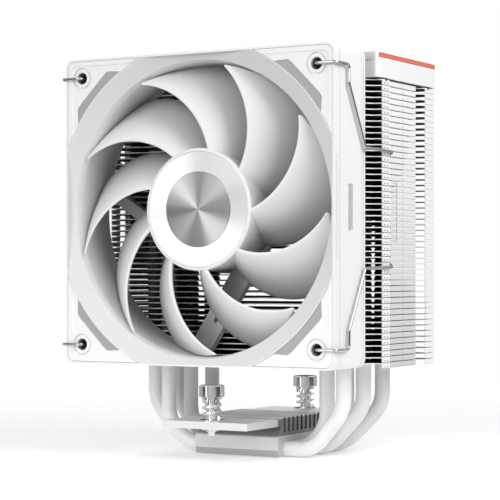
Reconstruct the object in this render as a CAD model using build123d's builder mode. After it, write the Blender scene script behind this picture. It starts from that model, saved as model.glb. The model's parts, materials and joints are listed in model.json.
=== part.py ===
from build123d import *
import math
import os

# CPU tower cooler with one 120 mm fan on the front of the fin stack.
# Millimetres. +Z is up, the fan faces -Y and +X is to the right seen from the fan's side.
# The origin is the centre of the face that presses on the processor.

os.makedirs("parts", exist_ok=True)


def save(builder, name):
    """Label a finished piece and write its STEP file."""
    builder.part.label = name
    export_step(builder.part, f"parts/{name}.step")


# ---------------------------------------------------------------- driving dimensions

# Base
base_half_x = 19.0
base_half_y = 19.4
base_height = 8.0
base_lip_height = 2.4
base_lip_set_back = 0.7
base_chamfer = 0.5
base_screw_x = 31.0
base_screw_y = 33.6
base_screw_radius = 0.6
base_screw_head = 1.05
base_screw_bite = 1.0

# Heat pipes: five U-shaped pipes, each leaning out on one side and in on the other
pipe_count = 5
pipe_radius = 3.0
pipe_axis_height = 2.75
pipe_base_pitch = 6.45
riser_pitch = 8.4
riser_centre_y = 1.45
riser_outer_x = 45.8
riser_inner_x = 34.1
pipe_bend_radius = 14.0
outer_knee = 31.0
outer_elbow_height = 18.8
inner_knee = 26.2
inner_elbow_height = 12.7
solder_gap = 0.03

# Ribbed cover over the pipes, with the mounting bar in one piece with it
cover_rib_pitch = 3.5
cover_rib_count = 11
cover_rib_width = 1.9
rib_root_height = 9.4
rib_top_height = 15.15
bar_bottom = 11.85
bar_top = 14.65
bar_reach_y = 43.4
screw_y = 37.75
bar_hole_radius = 2.6

# Fin stack
fin_count = 49
fin_pitch = 2.25
fin_thickness = 0.4
fin_bottom = 37.15
fin_half_x = 62.5
fin_front_y = -23.9
fin_shoulder_x = 54.0
fin_shoulder_y = -15.6
fin_rear_y = 32.6
fin_wall_x = 61.3
clip_groove_front = -9.4
clip_groove_rear = -7.4
clip_groove_x = 58.5
notch_front = 16.4
notch_rear = 23.1
notch_x = 59.6
tab_gap = 0.24

# Top cover
cap_front_y = -19.1
cap_rear_y = 33.0
cap_height = 10.25
cap_wall = 1.6
cap_corner_radius = 2.0
stripe_height = 1.75
stripe_drop = 0.95
stripe_depth = 0.6

# Fan
fan_size = 120.0
fan_depth = 25.0
fan_front_y = -50.4
fan_centre_z = 96.15
fan_corner_radius = 3.5
fan_hole_offset = 52.5
fan_hole_radius = 2.2
duct_radius = 56.6
inlet_radius = 64.0
mouth_radius = 57.3
mouth_depth = 3.0
throat_depth = 6.0
flange = 4.2
flange_groove = 0.45
rear_flange = 3.0
pad_edge = 59.2
pad_border = 1.9
pad_recess = 0.3
pad_thickness = 2.2
pad_gap = 0.15
hub_radius = 23.5
hub_face = 2.2
hub_back = 21.4
blade_count = 9
blade_tip_radius = 55.9
blade_front = 2.6
blade_back = 20.6
motor_base_radius = 24.5
motor_base_thickness = 2.0
arm_count = 4
arm_width = 4.6
arm_depth = 3.2
arm_turn = -33.0
cable_arm_width = 8.8
knurl_depth = 1.7
knurl_pitch = 1.12
knurl_count = 34

blade_tip_turn = -1.5
blade_wrap = 34.0
blade_tip_wrap = 31.8
blade_tip_sweep = 4.2
blade_nose_radius = 0.6
blade_camber = 0.62
blade_root_thickness = 2.6
blade_tip_thickness = 1.8
hub_wall = 1.5
plate_seat = 0.8
plate_radius = 22.2
disc_radius = 14.4
shaft_radius = 1.5
shaft_end = 23.0
clip_depth = 20.6
tube_radius = 4.6
tube_bore = 3.5
stator_radius = 18.0
stator_back = 19.0
stator_height = 7.0
board_radius = 15.2
board_thickness = 1.0
insert_depth = 0.9
insert_thickness = 0.45
badge_depth = 13.0
badge_length = 17.2
badge_width = 3.5

# Wire clips
wire_radius = 0.6
wire_bend = 1.6
wire_gap = 0.65

# Spring screws
head_radius = 4.9
head_bottom = 23.95
head_top = 28.55
collar_radius = 3.75
collar_height = 0.9
shank_radius = 2.1
washer_radius = 4.6
washer_thickness = 0.5
spring_radius = 3.08
spring_wire = 0.66
spring_pitch = 2.5
screw_tip = 9.0
thread_radius = 1.5
ring_height = 11.15
ring_thickness = 0.6

fin_top = fin_bottom + (fin_count - 1) * fin_pitch + fin_thickness
cap_bottom = fin_top + 0.6
cap_top = cap_bottom + cap_height
pipe_top = cap_bottom - 0.1


# ---------------------------------------------------------------- helpers

bottom = (Align.CENTER, Align.CENTER, Align.MIN)


def riser_y(index):
    """Y of one heat pipe's two upright legs."""
    return riser_centre_y + riser_pitch * (index - (pipe_count - 1) / 2)


def base_y(index):
    """Y of one heat pipe inside the base."""
    return pipe_base_pitch * (index - (pipe_count - 1) / 2)


def leg_side(index):
    """Side, +1 or -1, on which a heat pipe takes its wide bend."""
    return 1 if index % 2 == 0 else -1


def pipe_points(index):
    """Corner points of one heat pipe's centre line, from the left leg to the right leg."""
    wide = leg_side(index)
    points = []
    for side in (-1, 1):
        if side == wide:
            leg_x, elbow, knee = riser_outer_x, outer_elbow_height, outer_knee
        else:
            leg_x, elbow, knee = riser_inner_x, inner_elbow_height, inner_knee
        leg = [
            (side * leg_x, riser_y(index), pipe_top - pipe_radius),
            (side * leg_x, riser_y(index), elbow),
            (side * knee, base_y(index), pipe_axis_height),
        ]
        points += leg if side == -1 else leg[::-1]
    return points


def leg_places():
    """Positions of the ten upright pipe legs."""
    places = []
    for index in range(pipe_count):
        wide = leg_side(index)
        places.append((wide * riser_outer_x, riser_y(index)))
        places.append((-wide * riser_inner_x, riser_y(index)))
    return places


# Plane of the fan's front face: local x is right, local y is up, local z points out of the front
fan_plane = Plane(origin=(0, fan_front_y, fan_centre_z), x_dir=(1, 0, 0), z_dir=(0, -1, 0))


def fan_level(depth, turn=0.0):
    """Plane parallel to the fan's front face, this far behind it and turned by this many degrees."""
    angle = math.radians(turn)
    return Plane(
        origin=(0, fan_front_y + depth, fan_centre_z),
        x_dir=(math.cos(angle), 0, math.sin(angle)),
        z_dir=(0, -1, 0),
    )


# ---------------------------------------------------------------- base and heat pipes

with BuildPart() as pipe_space:
    # Straight channels that the pipes lie in, open at the contact face
    for index in range(pipe_count):
        with BuildSketch(Plane.YZ.offset(-base_half_x - 1)):
            with Locations((base_y(index), pipe_axis_height)):
                Circle(pipe_radius + solder_gap)
        extrude(amount=2 * base_half_x + 2)

with BuildPart() as contact_block:
    with BuildSketch(Plane.YZ.offset(-base_half_x)):
        with BuildLine():
            front = base_half_y - base_lip_set_back
            Polyline(
                (-front, 0),
                (front, 0),
                (base_half_y, base_lip_height),
                (base_half_y, base_height - base_chamfer),
                (base_half_y - base_chamfer, base_height),
                (-base_half_y + base_chamfer, base_height),
                (-base_half_y, base_height - base_chamfer),
                (-base_half_y, base_lip_height),
                close=True,
            )
        make_face()
    extrude(amount=2 * base_half_x)
    add(pipe_space.part, mode=Mode.SUBTRACT)
    # Countersunk holes of the screws that hold the ribbed cover down
    with Locations(Plane.XY.rotated((180, 0, 0))):
        with GridLocations(base_screw_x, base_screw_y, 2, 2):
            CounterSinkHole(base_screw_radius + 0.15, base_screw_head, depth=base_height)
save(contact_block, "contact_block")

for index in range(pipe_count):
    with BuildPart() as heat_pipe:
        with BuildLine() as pipe_path:
            FilletPolyline(*pipe_points(index), radius=pipe_bend_radius)
        with BuildSketch(Plane(origin=pipe_path.line @ 0, z_dir=pipe_path.line % 0)):
            Circle(pipe_radius)
        sweep(path=pipe_path.line)
        # Domed ends
        for end in (pipe_path.line @ 0, pipe_path.line @ 1):
            with Locations(end):
                Sphere(pipe_radius)
        # The underside is machined flush with the contact face
        split(bisect_by=Plane.XY, keep=Keep.TOP)
    save(heat_pipe, f"heat_pipe_{index + 1}")

with BuildPart() as ribbed_cover:
    # Low saddle between the pipes and the ribs
    with BuildSketch(Plane.YZ.offset(-base_half_x)):
        with BuildLine():
            Polyline(
                (-base_half_y + 0.6, base_height),
                (base_half_y - 0.6, base_height),
                (base_half_y - 2.6, bar_bottom),
                (bar_reach_y, bar_bottom),
                (bar_reach_y, bar_top),
                (base_half_y - 1.4, bar_top),
                (base_half_y - 2.2, rib_top_height),
                (-base_half_y + 2.2, rib_top_height),
                (-base_half_y + 1.4, bar_top),
                (-bar_reach_y, bar_top),
                (-bar_reach_y, bar_bottom),
                (-base_half_y + 2.6, bar_bottom),
                close=True,
            )
        make_face()
    extrude(amount=2 * base_half_x)
    # Channels between the ribs
    with BuildSketch(Plane.YZ.offset(-base_half_x)):
        rib_middle = (rib_root_height + rib_top_height) / 2
        with Locations((0, rib_middle + 0.5)):
            with GridLocations(cover_rib_pitch, 1, cover_rib_count - 2, 1):
                Rectangle(cover_rib_pitch - cover_rib_width, rib_top_height - rib_root_height + 1)
    extrude(amount=2 * base_half_x, mode=Mode.SUBTRACT)
    add(pipe_space.part, mode=Mode.SUBTRACT)
    # Holes of the two spring screws
    with Locations((0, -screw_y, bar_top), (0, screw_y, bar_top)):
        Hole(bar_hole_radius, depth=bar_top - bar_bottom)
    # Tapped holes for the base screws
    with Locations(Plane.XY.offset(base_height).rotated((180, 0, 0))):
        with GridLocations(base_screw_x, base_screw_y, 2, 2):
            Hole(base_screw_radius + 0.02, depth=base_screw_bite + 0.3)
save(ribbed_cover, "ribbed_cover")

with BuildPart() as base_screws:
    # Four countersunk screws, heads flush with the contact face
    with Locations(Plane.XY):
        with GridLocations(base_screw_x, base_screw_y, 2, 2):
            Cone(base_screw_head - 0.1, base_screw_radius, 0.5, align=bottom)
            Cylinder(base_screw_radius, base_height + base_screw_bite, align=bottom)
            Cylinder(0.45, 0.4, align=bottom, mode=Mode.SUBTRACT)
save(base_screws, "base_screws")


# ---------------------------------------------------------------- fin stack

with BuildPart() as fin:
    with BuildSketch(Plane.XY.offset(fin_bottom)):
        with BuildLine():
            Polyline(
                (0, fin_front_y),
                (fin_shoulder_x, fin_front_y),
                (fin_shoulder_x + 5.0, fin_shoulder_y - 1.2),
                (fin_half_x, fin_shoulder_y),
                (fin_half_x, clip_groove_front),
                (clip_groove_x, clip_groove_front),
                (clip_groove_x, clip_groove_rear),
                (fin_wall_x, clip_groove_rear),
                (fin_wall_x, notch_front),
                (notch_x, notch_front + 1.0),
                (notch_x, notch_rear - 1.6),
                (fin_half_x, notch_rear),
                (fin_half_x, fin_rear_y - 1.5),
                (fin_half_x - 1.5, fin_rear_y),
                (0, fin_rear_y),
            )
            mirror(about=Plane.YZ)
        make_face()
        with Locations(*leg_places()):
            Circle(pipe_radius + solder_gap, mode=Mode.SUBTRACT)
        # Small scallops along the front edge, where the air enters
        for side in (-1, 1):
            for place in (14, 40):
                with Locations((side * place, fin_front_y)):
                    Rectangle(5.0, 3.2, mode=Mode.SUBTRACT)
    extrude(amount=fin_thickness)
    # Side tabs folded down; together they close the stack's sides, the middle run set in a little
    tab_height = fin_pitch - fin_thickness - tab_gap
    tab_runs = (
        (fin_half_x, fin_shoulder_y, clip_groove_front),
        (fin_wall_x, clip_groove_rear, notch_front),
        (fin_half_x, notch_rear, fin_rear_y - 1.5),
    )
    for side in (-1, 1):
        for face_x, start, end in tab_runs:
            with Locations((side * (face_x - fin_thickness / 2), (start + end) / 2, fin_bottom)):
                Box(
                    fin_thickness,
                    end - start,
                    tab_height,
                    align=(Align.CENTER, Align.CENTER, Align.MAX),
                )
        # The rear wall of the wire clip's groove is closed by a tab too
        groove_wall_x = (clip_groove_x + fin_wall_x - fin_thickness) / 2
        with Locations((side * groove_wall_x, clip_groove_rear + fin_thickness / 2, fin_bottom)):
            Box(
                fin_wall_x - fin_thickness - clip_groove_x,
                fin_thickness,
                tab_height,
                align=(Align.CENTER, Align.CENTER, Align.MAX),
            )

with BuildPart() as fin_stack:
    with Locations(*[(0, 0, level * fin_pitch) for level in range(fin_count)]):
        add(fin.part)
save(fin_stack, "fin_stack")


# ---------------------------------------------------------------- top cover

cap_middle_y = (cap_front_y + cap_rear_y) / 2
cap_depth = cap_rear_y - cap_front_y
stripe_z = cap_top - stripe_drop - stripe_height / 2
stripe_length = cap_depth - 1.6

with BuildPart() as top_cover:
    with BuildSketch(Plane.XY.offset(cap_bottom)):
        with Locations((0, cap_middle_y)):
            RectangleRounded(2 * fin_half_x, cap_depth, cap_corner_radius)
    extrude(amount=cap_height)
    chamfer(top_cover.faces().sort_by(Axis.Z)[-1].edges(), 0.6)
    with BuildSketch(Plane.XY.offset(cap_bottom)):
        with Locations((0, cap_middle_y)):
            RectangleRounded(2 * fin_half_x - 2 * cap_wall, cap_depth - 2 * cap_wall, 1.0)
    extrude(amount=cap_height - cap_wall, mode=Mode.SUBTRACT)
    # Slots for the coloured side stripes
    for side in (-1, 1):
        with Locations((side * fin_half_x, cap_middle_y, stripe_z)):
            Box(2 * stripe_depth, stripe_length, stripe_height, mode=Mode.SUBTRACT)
    # Fine shadow line along the front and rear faces
    for y in (cap_front_y, cap_rear_y):
        with Locations((0, y, cap_top - 3.9)):
            Box(2 * fin_half_x - 6, 0.8, 0.5, mode=Mode.SUBTRACT)
    # Shallow panel let into the top, with raised diagonal ribs
    with BuildSketch(Plane.XY.offset(cap_top)):
        with Locations((0, cap_middle_y)):
            RectangleRounded(2 * fin_half_x - 16, cap_depth - 14, 2.5)
    extrude(amount=-0.6, mode=Mode.SUBTRACT)
    # Four screw posts inside
    with Locations((0, cap_middle_y, cap_top - cap_wall)):
        with GridLocations(2 * fin_half_x - 12, cap_depth - 10, 2, 2):
            Cylinder(2.2, cap_height - cap_wall - 0.4, align=(Align.CENTER, Align.CENTER, Align.MAX))
            Cylinder(
                0.9,
                cap_height - cap_wall - 2,
                align=(Align.CENTER, Align.CENTER, Align.MAX),
                mode=Mode.SUBTRACT,
            )
save(top_cover, "top_cover")

with BuildPart() as top_panel:
    with BuildSketch(Plane.XY.offset(cap_top - 0.6)):
        with Locations((0, cap_middle_y)):
            RectangleRounded(2 * fin_half_x - 16.4, cap_depth - 14.4, 2.3)
    extrude(amount=0.45)
    with BuildSketch(Plane.XY.offset(cap_top - 0.15)):
        with Locations((0, cap_middle_y)):
            with GridLocations(9.0, 1, 11, 1):
                Rectangle(1.0, cap_depth - 22, rotation=-18)
    extrude(amount=-0.25, mode=Mode.SUBTRACT)
save(top_panel, "top_panel")

for side, side_name in ((-1, "left"), (1, "right")):
    with BuildPart() as stripe:
        with Locations((side * (fin_half_x - stripe_depth / 2 - 0.02), cap_middle_y, stripe_z)):
            Box(stripe_depth - 0.06, stripe_length - 0.1, stripe_height - 0.1)
    save(stripe, f"cover_stripe_{side_name}")


# ---------------------------------------------------------------- fan frame

def pad_outline(margin):
    """Corner pad outline in the upper right corner: a rounded square corner cut by a circle."""
    edge = pad_edge - margin
    reach = inlet_radius + 0.3 + margin
    low = math.sqrt(reach * reach - edge * edge)
    turn = 3.0 - margin
    Line((low, edge), (edge - turn, edge))
    RadiusArc((edge - turn, edge), (edge, edge - turn), turn)
    Line((edge, edge - turn), (edge, low))
    middle = reach / math.sqrt(2)
    ThreePointArc((edge, low), (middle, middle), (low, edge))


def corner_places():
    """Turns, in degrees, that carry the upper right corner to each corner."""
    return (("upper_right", 0), ("upper_left", 90), ("lower_left", 180), ("lower_right", 270))


with BuildPart() as pad_pocket:
    with BuildSketch():
        with BuildLine():
            pad_outline(0)
        make_face()
    extrude(amount=-pad_thickness - 0.1)

with BuildPart() as inlet_cone:
    # Funnel into the duct, held inside the square rim round the frame's front
    with BuildSketch(Plane.XZ):
        with BuildLine():
            Polyline(
                (0, 1),
                (inlet_radius, 1),
                (inlet_radius, 0),
                (mouth_radius, -mouth_depth),
                (duct_radius, -throat_depth),
                (0, -throat_depth),
                close=True,
            )
        make_face()
    revolve(axis=Axis.Z)
    with BuildSketch(Plane.XY.offset(-throat_depth)):
        RectangleRounded(2 * pad_edge, 2 * pad_edge, fan_corner_radius)
    extrude(amount=throat_depth + 1, mode=Mode.INTERSECT)


def build_arm(width):
    """One arm from the motor base to the duct wall, its outer edge tangent to the motor base."""
    offset = motor_base_radius - width / 2
    reach = math.sqrt((duct_radius + 1.5) ** 2 - motor_base_radius**2)
    with BuildPart() as arm:
        with BuildSketch(Plane.XY.offset(-fan_depth)):
            with Locations((-reach / 2, -offset)):
                Rectangle(reach, width)
        extrude(amount=arm_depth)
    return arm


arm = build_arm(arm_width)
cable_arm = build_arm(cable_arm_width)

with BuildPart(fan_plane) as fan_frame:
    with BuildSketch(fan_plane):
        RectangleRounded(fan_size, fan_size, fan_corner_radius)
    extrude(amount=-fan_depth)
    # Thin grooves that part the front and rear flanges from the side wall
    for depth in (flange, fan_depth - rear_flange, fan_depth - rear_flange / 2):
        with BuildSketch(fan_level(depth)):
            RectangleRounded(fan_size + 1, fan_size + 1, fan_corner_radius)
            RectangleRounded(fan_size - 0.9, fan_size - 0.9, fan_corner_radius, mode=Mode.SUBTRACT)
        extrude(amount=-flange_groove, mode=Mode.SUBTRACT)
    # Duct, opening out at the inlet and a little at the outlet
    with BuildSketch(fan_plane):
        Circle(duct_radius)
    extrude(amount=-fan_depth, mode=Mode.SUBTRACT)
    add(inlet_cone.part, mode=Mode.SUBTRACT)
    # Corner pad pockets, front and rear
    for depth in (0, fan_depth - pad_thickness - 0.1):
        with Locations((0, 0, -depth)):
            with PolarLocations(0, 4):
                add(pad_pocket.part, mode=Mode.SUBTRACT)
    # Screw holes
    with BuildSketch(fan_plane):
        with GridLocations(2 * fan_hole_offset, 2 * fan_hole_offset, 2, 2):
            Circle(fan_hole_radius)
    extrude(amount=-fan_depth, mode=Mode.SUBTRACT)
    # Pill-shaped recess in each side
    for side in (-1, 1):
        with Locations((side * fan_size / 2, 0, -13)):
            Box(1.2, 17.4, 3.7, mode=Mode.SUBTRACT)
    # Knurled strips on the front flange: two staggered columns of small dimples on each side
    for side in (-1, 1):
        for depth, stagger in ((knurl_depth, 0.0), (knurl_depth + 1.1, knurl_pitch / 2)):
            with Locations((side * fan_size / 2, stagger, -depth)):
                with GridLocations(1, knurl_pitch, 1, knurl_count):
                    Box(0.6, 0.6, 0.7, mode=Mode.SUBTRACT)
    # Motor base, bearing tube and struts
    with BuildSketch(fan_level(fan_depth)):
        Circle(motor_base_radius)
    extrude(amount=motor_base_thickness)
    with BuildSketch(fan_level(fan_depth)):
        Circle(tube_radius)
    extrude(amount=fan_depth - 7)
    with PolarLocations(0, arm_count, start_angle=arm_turn):
        add(arm.part)
    # The fan's wires leave along one wider arm with a slot through it
    with PolarLocations(0, 1, start_angle=arm_turn + 90):
        add(cable_arm.part)
        with Locations((-36.0, -motor_base_radius + cable_arm_width / 2, -fan_depth)):
            Box(6.0, 1.6, 3 * arm_depth, mode=Mode.SUBTRACT)
    with BuildSketch(fan_level(fan_depth - 1.2)):
        Circle(tube_bore)
    extrude(amount=fan_depth, mode=Mode.SUBTRACT)
save(fan_frame, "fan_frame")


# ---------------------------------------------------------------- corner pads and badges

def build_pad(turn, rear):
    """One soft corner pad with its screw hole, set in its pocket."""
    plane = fan_level(fan_depth - pad_thickness if rear else 0.0, turn)
    with BuildPart() as pad:
        with BuildSketch(plane):
            with BuildLine():
                pad_outline(pad_gap)
            make_face()
            with Locations((fan_hole_offset, fan_hole_offset)):
                Circle(fan_hole_radius + 0.1, mode=Mode.SUBTRACT)
        extrude(amount=-pad_thickness)
        if not rear:
            # The face sits a little lower than the border along the pad's two outer edges
            inner_edge = pad_edge - pad_border
            with BuildSketch(plane):
                with Locations((inner_edge / 2, inner_edge / 2)):
                    RectangleRounded(inner_edge, inner_edge, 2.0)
            extrude(amount=-pad_recess, mode=Mode.SUBTRACT)
            # Groove round the hole and a pocket for the grey insert
            with BuildSketch(plane):
                with Locations((fan_hole_offset, fan_hole_offset)):
                    Circle(4.2)
                    Circle(3.6, mode=Mode.SUBTRACT)
            extrude(amount=-pad_recess - 0.7, mode=Mode.SUBTRACT)
            with BuildSketch(plane):
                with BuildLine():
                    insert_outline(0)
                make_face()
            extrude(amount=-insert_depth, mode=Mode.SUBTRACT)
    return pad


def insert_outline(margin):
    """Grey insert beside the inlet ring: a chamfered wedge closed by the ring's arc."""
    # The arc clears the pocket only if its ends move in further along it
    long_x, long_y = 34.6 + 3 * margin, 54.4 - margin
    mid_x, mid_y = 40.4, 54.7 - margin
    turn_x, turn_y = 42.0, 53.6 - margin
    reach = math.hypot(long_x, long_y)
    middle = reach / math.sqrt(2)
    Line((long_x, long_y), (mid_x, mid_y))
    Line((mid_x, mid_y), (turn_x, turn_y))
    Line((turn_x, turn_y), (turn_y, turn_x))
    Line((turn_y, turn_x), (mid_y, mid_x))
    Line((mid_y, mid_x), (long_y, long_x))
    ThreePointArc((long_y, long_x), (middle, middle), (long_x, long_y))


for rear in (False, True):
    end_name = "rear" if rear else "front"
    for corner, turn in corner_places():
        pad = build_pad(turn, rear)
        save(pad, f"pad_{end_name}_{corner}")

with BuildPart() as pad_inserts:
    # Four grey inserts in the front pads
    for corner, turn in corner_places():
        with BuildSketch(fan_level(insert_depth, turn)):
            with BuildLine():
                insert_outline(0.1)
            make_face()
        extrude(amount=insert_thickness)
save(pad_inserts, "pad_inserts")

for side, side_name in ((-1, "left"), (1, "right")):
    badge_plane = Plane(
        origin=(side * (fan_size / 2 - 0.55), fan_front_y + badge_depth, fan_centre_z),
        x_dir=(0, side, 0),
        z_dir=(side, 0, 0),
    )
    with BuildPart() as badge:
        with BuildSketch(badge_plane):
            SlotOverall(badge_length - 0.1, badge_width - 0.1, rotation=90)
        extrude(amount=0.3)
        # Generic airflow and rotation arrows, raised
        with BuildSketch(badge_plane.offset(0.3)):
            for place, turn in ((4.4, 0), (-4.4, 90)):
                with Locations((0, place)):
                    Rectangle(0.35, 2.4, rotation=turn)
                    with Locations((0, 1.2) if turn == 0 else (-1.2, 0)):
                        Triangle(a=1.2, b=1.2, c=1.2, rotation=turn)
        extrude(amount=0.15)
    save(badge, f"side_badge_{side_name}")


# ---------------------------------------------------------------- impeller and motor

def blade_lead_angle(radius):
    """Turn of the leading edge behind the blade's tip, in degrees: the edge sweeps forward."""
    out = radius - hub_radius
    share = out / (blade_tip_radius - hub_radius)
    return -37.5 + 1.06 * out + 0.0032 * out * out + blade_tip_sweep * share**5


def blade_wrap_angle(radius):
    """Angle from leading to trailing edge, in degrees, a little smaller towards the tip."""
    share = (radius - hub_radius) / (blade_tip_radius - hub_radius)
    return blade_wrap - (blade_wrap - blade_tip_wrap) * share * abs(share)


def blade_section_plane(radius):
    """Plane across the blade at this radius, facing outward, local y towards the fan's front."""
    turn = math.radians(blade_tip_turn + blade_lead_angle(radius) - blade_wrap_angle(radius) / 2)
    outward = (math.cos(turn), math.sin(turn), 0)
    along = (-math.sin(turn), math.cos(turn), 0)
    return Plane(origin=(radius * outward[0], radius * outward[1], 0), x_dir=along, z_dir=outward)


def blade_section_points(radius):
    """Front and rear outlines of the blade at this radius, nose to tail, with a bowed mean line."""
    half_chord = radius * math.tan(math.radians(blade_wrap_angle(radius) / 2))
    height = blade_back - blade_front
    fullness = blade_root_thickness + (blade_tip_thickness - blade_root_thickness) * (
        (radius - hub_radius) / (blade_tip_radius - hub_radius)
    )
    front_side = []
    rear_side = []
    for step, share in ((0.04, 0.62), (0.14, 0.95), (0.36, 1.0), (0.62, 0.8), (0.85, 0.55), (0.97, 0.36)):
        x = half_chord * (1 - 2 * step)
        y = -blade_front - height * (blade_camber * step + (1 - blade_camber) * step**2)
        slope_x = -2 * half_chord
        slope_y = -height * (blade_camber + 2 * (1 - blade_camber) * step)
        length = math.hypot(slope_x, slope_y)
        reach = share * fullness / 2
        front_side.append((x - slope_y / length * -reach, y + slope_x / length * -reach))
        rear_side.append((x - slope_y / length * reach, y + slope_x / length * reach))
    nose = (half_chord, -blade_front)
    tail = (-half_chord, -blade_back)
    return [nose, *front_side, tail], [tail, *rear_side[::-1], nose]


with BuildPart() as blade:
    for radius in (19.0, 27.0, 36.0, 46.0, 52.0, 57.5):
        with BuildSketch(blade_section_plane(radius)):
            with BuildLine():
                for outline in blade_section_points(radius):
                    Spline(*outline)
            make_face()
    loft()
    # Trim the root inside the hub wall and the tip to its running clearance
    with BuildSketch(Plane.XY.offset(1)):
        Circle(blade_tip_radius)
        Circle(hub_radius - 0.8, mode=Mode.SUBTRACT)
    extrude(amount=-fan_depth - 2, mode=Mode.INTERSECT)
    # Round off the sharp corner where the leading edge meets the tip
    nose_lean = 15.5
    nose_turn = -2.8
    with BuildSketch(Plane.XY.offset(1)):
        with PolarLocations(blade_tip_radius - blade_nose_radius, 1, start_angle=nose_turn):
            Rectangle(
                6 * blade_nose_radius,
                6 * blade_nose_radius,
                rotation=-nose_lean,
                align=(Align.CENTER, Align.MIN),
            )
            Circle(blade_nose_radius + 0.03, mode=Mode.SUBTRACT)
    extrude(amount=-fan_depth - 2, mode=Mode.SUBTRACT)

with BuildPart(fan_plane) as impeller:
    with BuildSketch(fan_level(hub_back)):
        Circle(hub_radius)
    extrude(amount=hub_back - hub_face)
    fillet(impeller.edges().sort_by(Axis.Y)[0], 0.9)
    # Shallow seat for the metal face plate
    with BuildSketch(fan_level(hub_face)):
        Circle(plate_radius + 0.05)
    extrude(amount=-plate_seat, mode=Mode.SUBTRACT)
    # Room for the motor
    with BuildSketch(fan_level(hub_back)):
        Circle(hub_radius - hub_wall)
    extrude(amount=hub_back - hub_face - plate_seat - hub_wall, mode=Mode.SUBTRACT)
    # Boss that holds the shaft
    with BuildSketch(fan_level(hub_face + plate_seat)):
        Circle(3.2)
    extrude(amount=-3.0)
    with BuildSketch(fan_level(hub_face + plate_seat + 0.5)):
        Circle(shaft_radius + 0.01)
    extrude(amount=-4.0, mode=Mode.SUBTRACT)
    with PolarLocations(0, blade_count):
        add(blade.part)
save(impeller, "impeller")

with BuildPart() as hub_plate:
    # Bright ring, very slightly dished towards its middle
    with BuildSketch(Plane.XZ):
        with BuildLine():
            Polyline(
                (disc_radius + 0.05, -hub_face - plate_seat),
                (plate_radius, -hub_face - plate_seat),
                (plate_radius, -hub_face - 0.1),
                (plate_radius - 0.3, -hub_face + 0.1),
                (disc_radius + 0.05, -hub_face - 0.35),
                close=True,
            )
        make_face()
    revolve(axis=Axis.Z)

with BuildPart() as hub_ring:
    with Locations(fan_plane):
        add(hub_plate.part)
save(hub_ring, "hub_ring")

with BuildPart() as hub_disc:
    with BuildSketch(fan_level(hub_face + plate_seat)):
        Circle(disc_radius)
    extrude(amount=plate_seat - 0.25)
    chamfer(hub_disc.edges().sort_by(Axis.Y)[0], 0.15)
save(hub_disc, "hub_disc")

motor_top = hub_face + plate_seat + hub_wall

with BuildPart() as rotor_yoke:
    with BuildSketch(fan_level(hub_back - 0.4)):
        Circle(hub_radius - hub_wall - 0.02)
    extrude(amount=hub_back - 0.4 - motor_top - 0.02)
    with BuildSketch(fan_level(hub_back - 0.4)):
        Circle(hub_radius - hub_wall - 0.9)
    extrude(amount=hub_back - 0.4 - motor_top - 0.9, mode=Mode.SUBTRACT)
    with BuildSketch(fan_level(motor_top + 1)):
        Circle(3.4)
    extrude(amount=1.0, mode=Mode.SUBTRACT)
save(rotor_yoke, "rotor_yoke")

with BuildPart() as magnet_ring:
    with BuildSketch(fan_level(hub_back - 0.8)):
        Circle(hub_radius - hub_wall - 0.92)
        Circle(stator_radius + 0.5, mode=Mode.SUBTRACT)
    extrude(amount=11.0)
save(magnet_ring, "magnet_ring")

with BuildPart() as rotor_shaft:
    with BuildSketch(fan_level(shaft_end)):
        Circle(shaft_radius)
    extrude(amount=shaft_end - hub_face - plate_seat - 0.6)
    # Groove for the retaining clip
    with BuildSketch(fan_level(clip_depth + 0.6)):
        Circle(shaft_radius + 0.2)
        Circle(shaft_radius - 0.4, mode=Mode.SUBTRACT)
    extrude(amount=0.6, mode=Mode.SUBTRACT)
save(rotor_shaft, "rotor_shaft")

with BuildPart() as shaft_clip:
    with BuildSketch(fan_level(clip_depth + 0.55)):
        Circle(2.7)
        Circle(shaft_radius - 0.38, mode=Mode.SUBTRACT)
        with Locations((2.4, 0)):
            Rectangle(2.4, 0.9, mode=Mode.SUBTRACT)
    extrude(amount=0.5)
save(shaft_clip, "shaft_clip")

with BuildPart() as bearing_bush:
    with BuildSketch(fan_level(clip_depth - 0.6)):
        Circle(tube_bore - 0.01)
        Circle(shaft_radius + 0.03, mode=Mode.SUBTRACT)
    extrude(amount=clip_depth - 0.6 - 7.6)
save(bearing_bush, "bearing_bush")

with BuildPart() as thrust_pad:
    with BuildSketch(fan_level(fan_depth - 1.2)):
        Circle(tube_bore - 0.1)
    extrude(amount=0.7)
save(thrust_pad, "thrust_pad")

with BuildPart() as stator_core:
    with BuildSketch(fan_level(stator_back)):
        Circle(8.0)
        with PolarLocations(0, 4):
            with Locations((11.0, 0)):
                Rectangle(11.0, 4.0)
        with PolarLocations(0, 4):
            with Locations((stator_radius - 1.2, 0)):
                Rectangle(3.4, 19.0)
        Circle(stator_radius, mode=Mode.INTERSECT)
        Circle(tube_radius + 0.02, mode=Mode.SUBTRACT)
    extrude(amount=stator_height)
save(stator_core, "stator_core")

with BuildPart() as stator_coils:
    # One wound coil on each of the four poles
    for turn in range(4):
        level = fan_level(stator_back - stator_height / 2, 90 * turn)
        root = level.origin + level.x_dir * 8.6
        with BuildSketch(Plane(root, x_dir=level.y_dir, z_dir=level.x_dir)):
            RectangleRounded(8.0, stator_height + 4.0, 1.9)
            Rectangle(4.06, stator_height + 0.06, mode=Mode.SUBTRACT)
        extrude(amount=5.6)
save(stator_coils, "stator_coils")

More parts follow.
